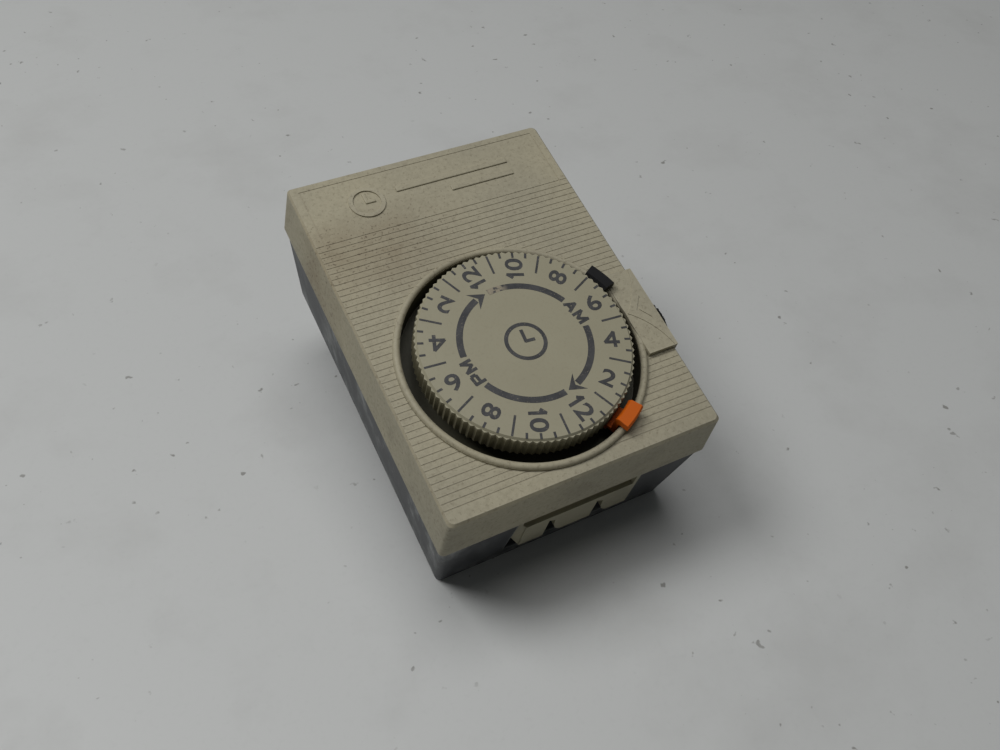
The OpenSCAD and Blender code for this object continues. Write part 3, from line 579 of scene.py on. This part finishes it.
for half, (word, start) in {"day": ("AM", 0), "night": ("PM", 180)}.items():
    parts = drawn(word[0], -2.9 * MM, 2.1 * MM, 2.3 * MM, 0.75 * MM)
    parts += drawn(word[1], 0.35 * MM, 2.45 * MM, 2.3 * MM, 0.75 * MM)
    for part in parts:
        on_face(part, BAND_RADIUS, start + 11.4, -90)
    for first, last in ((start + 99, start + 27), (start - 4.5, start - 67)):
        band = swept_ring(BAND_RADIUS, 1.5 * MM, 2 * INK, first, first - last, 36)
        on_face(band, 0, 0)
        parts.append(band)
    head = arrowhead(2.4 * MM, 2.75 * MM)
    on_face(head, BAND_RADIUS, start - 68.5, 176)
    parts.append(head)
    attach(joined("dial_band_" + half, parts, ink), "dial")

circle = swept_ring(4.4 * MM, 0.9 * MM, 2 * INK, 0, 360, 72)
on_face(circle, 0, 0)
minute_hand = printed_bar(3.3 * MM, 0.8 * MM)
on_face(minute_hand, 1.4 * MM, FIRST_NUMBER + 75)
hour_hand = printed_bar(2.4 * MM, 0.8 * MM)
hour_hand.data.transform(Matrix.Translation((0, 0, LIFT)))
on_face(hour_hand, 1.0 * MM, FIRST_NUMBER - 15)
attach(joined("dial_centre_mark", [circle, minute_hand, hour_hand], ink), "dial")

# ------------------------------------------------------------------ badge on the cover
# The smooth panel above the ribs carries a low raised badge in the cover's own plastic:
# a plain clock face with two hands, and beside it one long bar over a shorter one.

BADGE_X = cover_low.x + 17.3 * MM
BADGE_Y = cover_high.y - 10.6 * MM
RAISED = 0.35 * MM


def raised_bar(length, width, height, at_x, at_y, turn):
    """A bar in the face, half buried, with its edges rounded."""
    deselect()
    bpy.ops.mesh.primitive_cube_add(size=1)
    bar = bpy.context.object
    bar.data.transform(Matrix.Diagonal((length, width, 2 * height, 1)))
    bpy.ops.object.mode_set(mode="EDIT")
    bpy.ops.mesh.select_all(action="SELECT")
    bpy.ops.mesh.bevel(offset=height * 0.6, segments=2)
    bpy.ops.object.mode_set(mode="OBJECT")
    bar.data.transform(Matrix.Rotation(math.radians(turn), 4, "Z"))
    bar.data.transform(Matrix.Translation((at_x, at_y, FACE_Z)))
    return bar


rim = swept_ring(3.9 * MM, 1.0 * MM, 2 * RAISED, 0, 360, 64)
rim.data.transform(Matrix.Translation((BADGE_X, BADGE_Y, FACE_Z)))
badge = [rim,
         raised_bar(3.2 * MM, 0.9 * MM, RAISED, BADGE_X, BADGE_Y + 1.2 * MM, 90),
         raised_bar(2.6 * MM, 0.9 * MM, RAISED - 0.02 * MM, BADGE_X + 0.9 * MM, BADGE_Y, 0),
         raised_bar(30.0 * MM, 1.6 * MM, RAISED, BADGE_X + 23.0 * MM, BADGE_Y + 1.5 * MM, 0),
         raised_bar(17.0 * MM, 1.6 * MM, RAISED, BADGE_X + 29.5 * MM, BADGE_Y - 2.4 * MM, 0)]
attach(joined("cover_badge", badge, cover_beige), "case")

# ------------------------------------------------------------------ trippers and knob
# The two trippers clip over the dial's rim: black switches on and orange switches off.
# The small ribbed knob at the side is the same black plastic.

black = plain_plastic("tripper_black_plastic", (0.006, 0.006, 0.007), 0.5, 0.4,
                      (0.02, 0.02, 0.02), 0.4, Specular_IOR_Level=0.25)
paint("on_tripper", black)
paint("manual_knob", black)
orange = plain_plastic("tripper_orange_plastic", (0.62, 0.118, 0.004), 0.5, 0.4,
                       (0.25, 0.04, 0.005), 0.35, Specular_IOR_Level=0.25)
paint("off_tripper", orange)

# ------------------------------------------------------------------ table and light
# The timer lies on its blades and the lower edge of its back, on a pale table. Soft light
# falls from above its upper end, and it is seen from above its lower left corner.

blade_low, blade_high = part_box("plug_blade_line")
case_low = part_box("rear_case")[0]
BACK_TAPER = 2.0 * MM
BLADE_TIP_HALF = 2 * MM
CLEARANCE = 0.15 * MM
heel = Vector((0, case_low.y + BACK_TAPER, 0))
toe = Vector((0, (blade_low.y + blade_high.y) / 2 + BLADE_TIP_HALF, blade_low.z))
tilt = math.atan2(toe.z - heel.z, toe.y - heel.y)

deselect()
bpy.ops.mesh.primitive_grid_add(x_subdivisions=4, y_subdivisions=4, size=1.0)
table = bpy.context.object
table.name = "table"
below = Matrix.Translation(heel - Vector((0, 0, CLEARANCE)))
table.data.transform(below @ Matrix.Rotation(tilt, 4, "X"))


def table_top():
    f = Finish("table_top")
    smudge = f.ramp(f.noise(38 * MM, 5.0, 0.6), 0.5, 0.72)
    grain = f.noise(1.4 * MM, 3.0)
    specks = f.ramp(f.noise(3.0 * MM, 2.0, 0.5), 0.715, 0.76)
    specks = specks * f.ramp(f.noise(60 * MM, 2.0), 0.42, 0.52)
    tone = f.mix(smudge * 0.2, (0.60, 0.61, 0.60), (0.36, 0.355, 0.34))
    tone = f.mix(f.ramp(grain, 0.55, 0.8) * 0.06, tone, (0.3, 0.3, 0.3))
    tone = f.mix(specks * 0.6, tone, (0.1, 0.09, 0.07))
    return f.shade(tone, 0.5 + smudge * 0.1, normal=f.bump(grain, 0.02 * MM, 0.2))


table.data.materials.append(table_top())


def lamp(name, place, size, power):
    """A round soft light that faces the timer."""
    light = bpy.data.lights.new(name, "AREA")
    light.shape = "DISK"
    light.size = size
    light.energy = power
    thing = bpy.data.objects.new(name, light)
    bpy.context.scene.collection.objects.link(thing)
    thing.location = place
    thing.rotation_euler = (-Vector(place)).to_track_quat("-Z", "Y").to_euler()


lamp("window", (-0.45, 0.45, 0.75), 0.45, 3.9)
lamp("ceiling", (0.05, 0.34, 1.1), 0.7, 3.6)

world = bpy.data.worlds.new("room")
world.use_nodes = True
background = world.node_tree.nodes["Background"]
background.inputs["Color"].default_value = (0.97, 1.0, 0.99, 1)
background.inputs["Strength"].default_value = 0.06
bpy.context.scene.world = world

camera_data = bpy.data.cameras.new("camera")
camera_data.lens = 36.0
camera_data.clip_start = 0.01
camera = bpy.data.objects.new("camera", camera_data)
bpy.context.scene.collection.objects.link(camera)
forward = Vector((0.3475, 0.3944, -0.8507))
right = forward.cross(Vector((0.3114, 0.8072, 0.5014))).normalized()
above = right.cross(forward).normalized()
pose = Matrix((right, above, -forward)).transposed().to_4x4()
pose.translation = Vector((-84.26, -104.18, 226.24)) * MM
camera.matrix_world = pose
bpy.context.scene.camera = camera
bpy.context.scene.view_settings.view_transform = "Standard"
